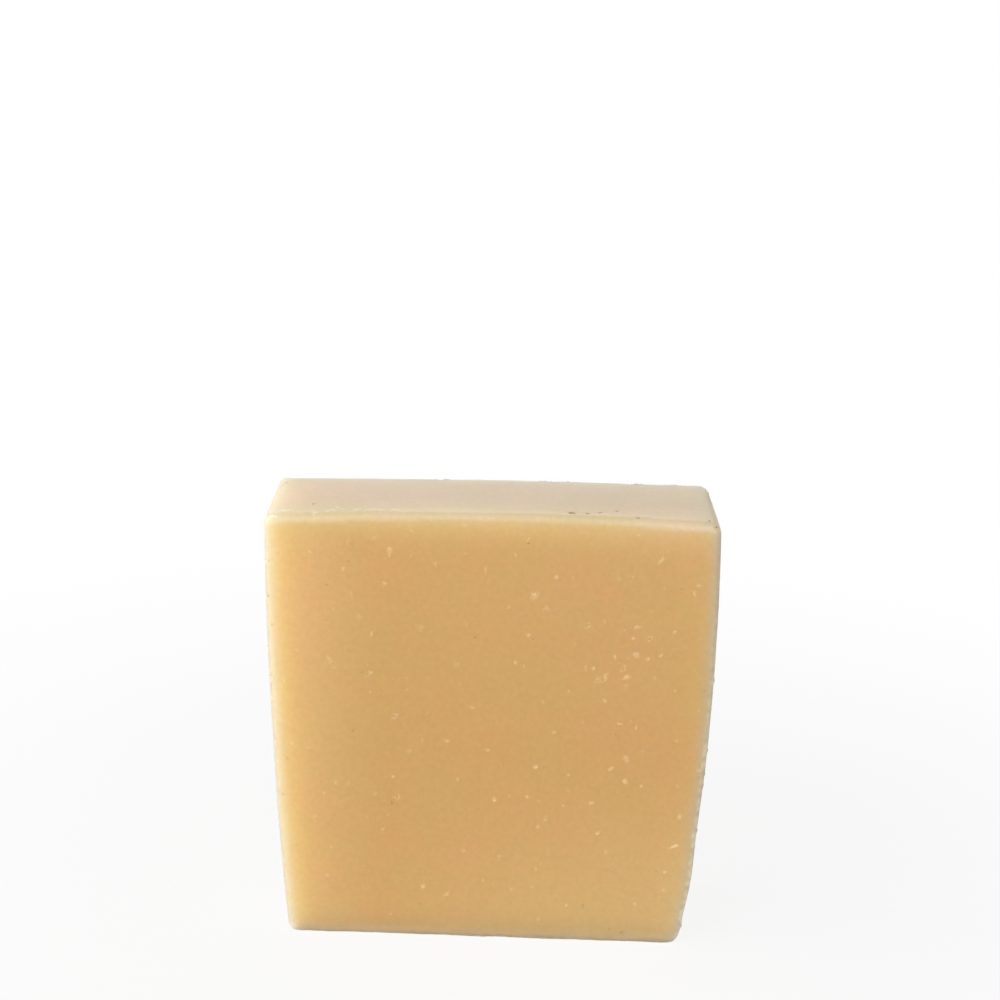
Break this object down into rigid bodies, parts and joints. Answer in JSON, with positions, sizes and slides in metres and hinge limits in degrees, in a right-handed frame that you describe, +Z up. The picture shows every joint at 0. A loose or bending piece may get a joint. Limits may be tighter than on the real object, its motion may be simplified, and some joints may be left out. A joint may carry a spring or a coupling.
{
  "type": "soap bar",
  "caption": "Nearly square slice of cast soap that narrows towards its flat base, with slightly bowed sides, a slight crown and rounded edges.",
  "frame": {"origin": "middle of the flat base, halfway between the two cut faces", "axes": "+Z up from the base to the crowned top, -Y out of the front cut face, +X to the right seen from the front"},
  "size_m": [0.0767, 0.025, 0.0775],
  "materials": {
    "soap": "satin"
  },
  "bodies": {
    "root": {"soap_bar": "soap"}
  },
  "joints": []
}
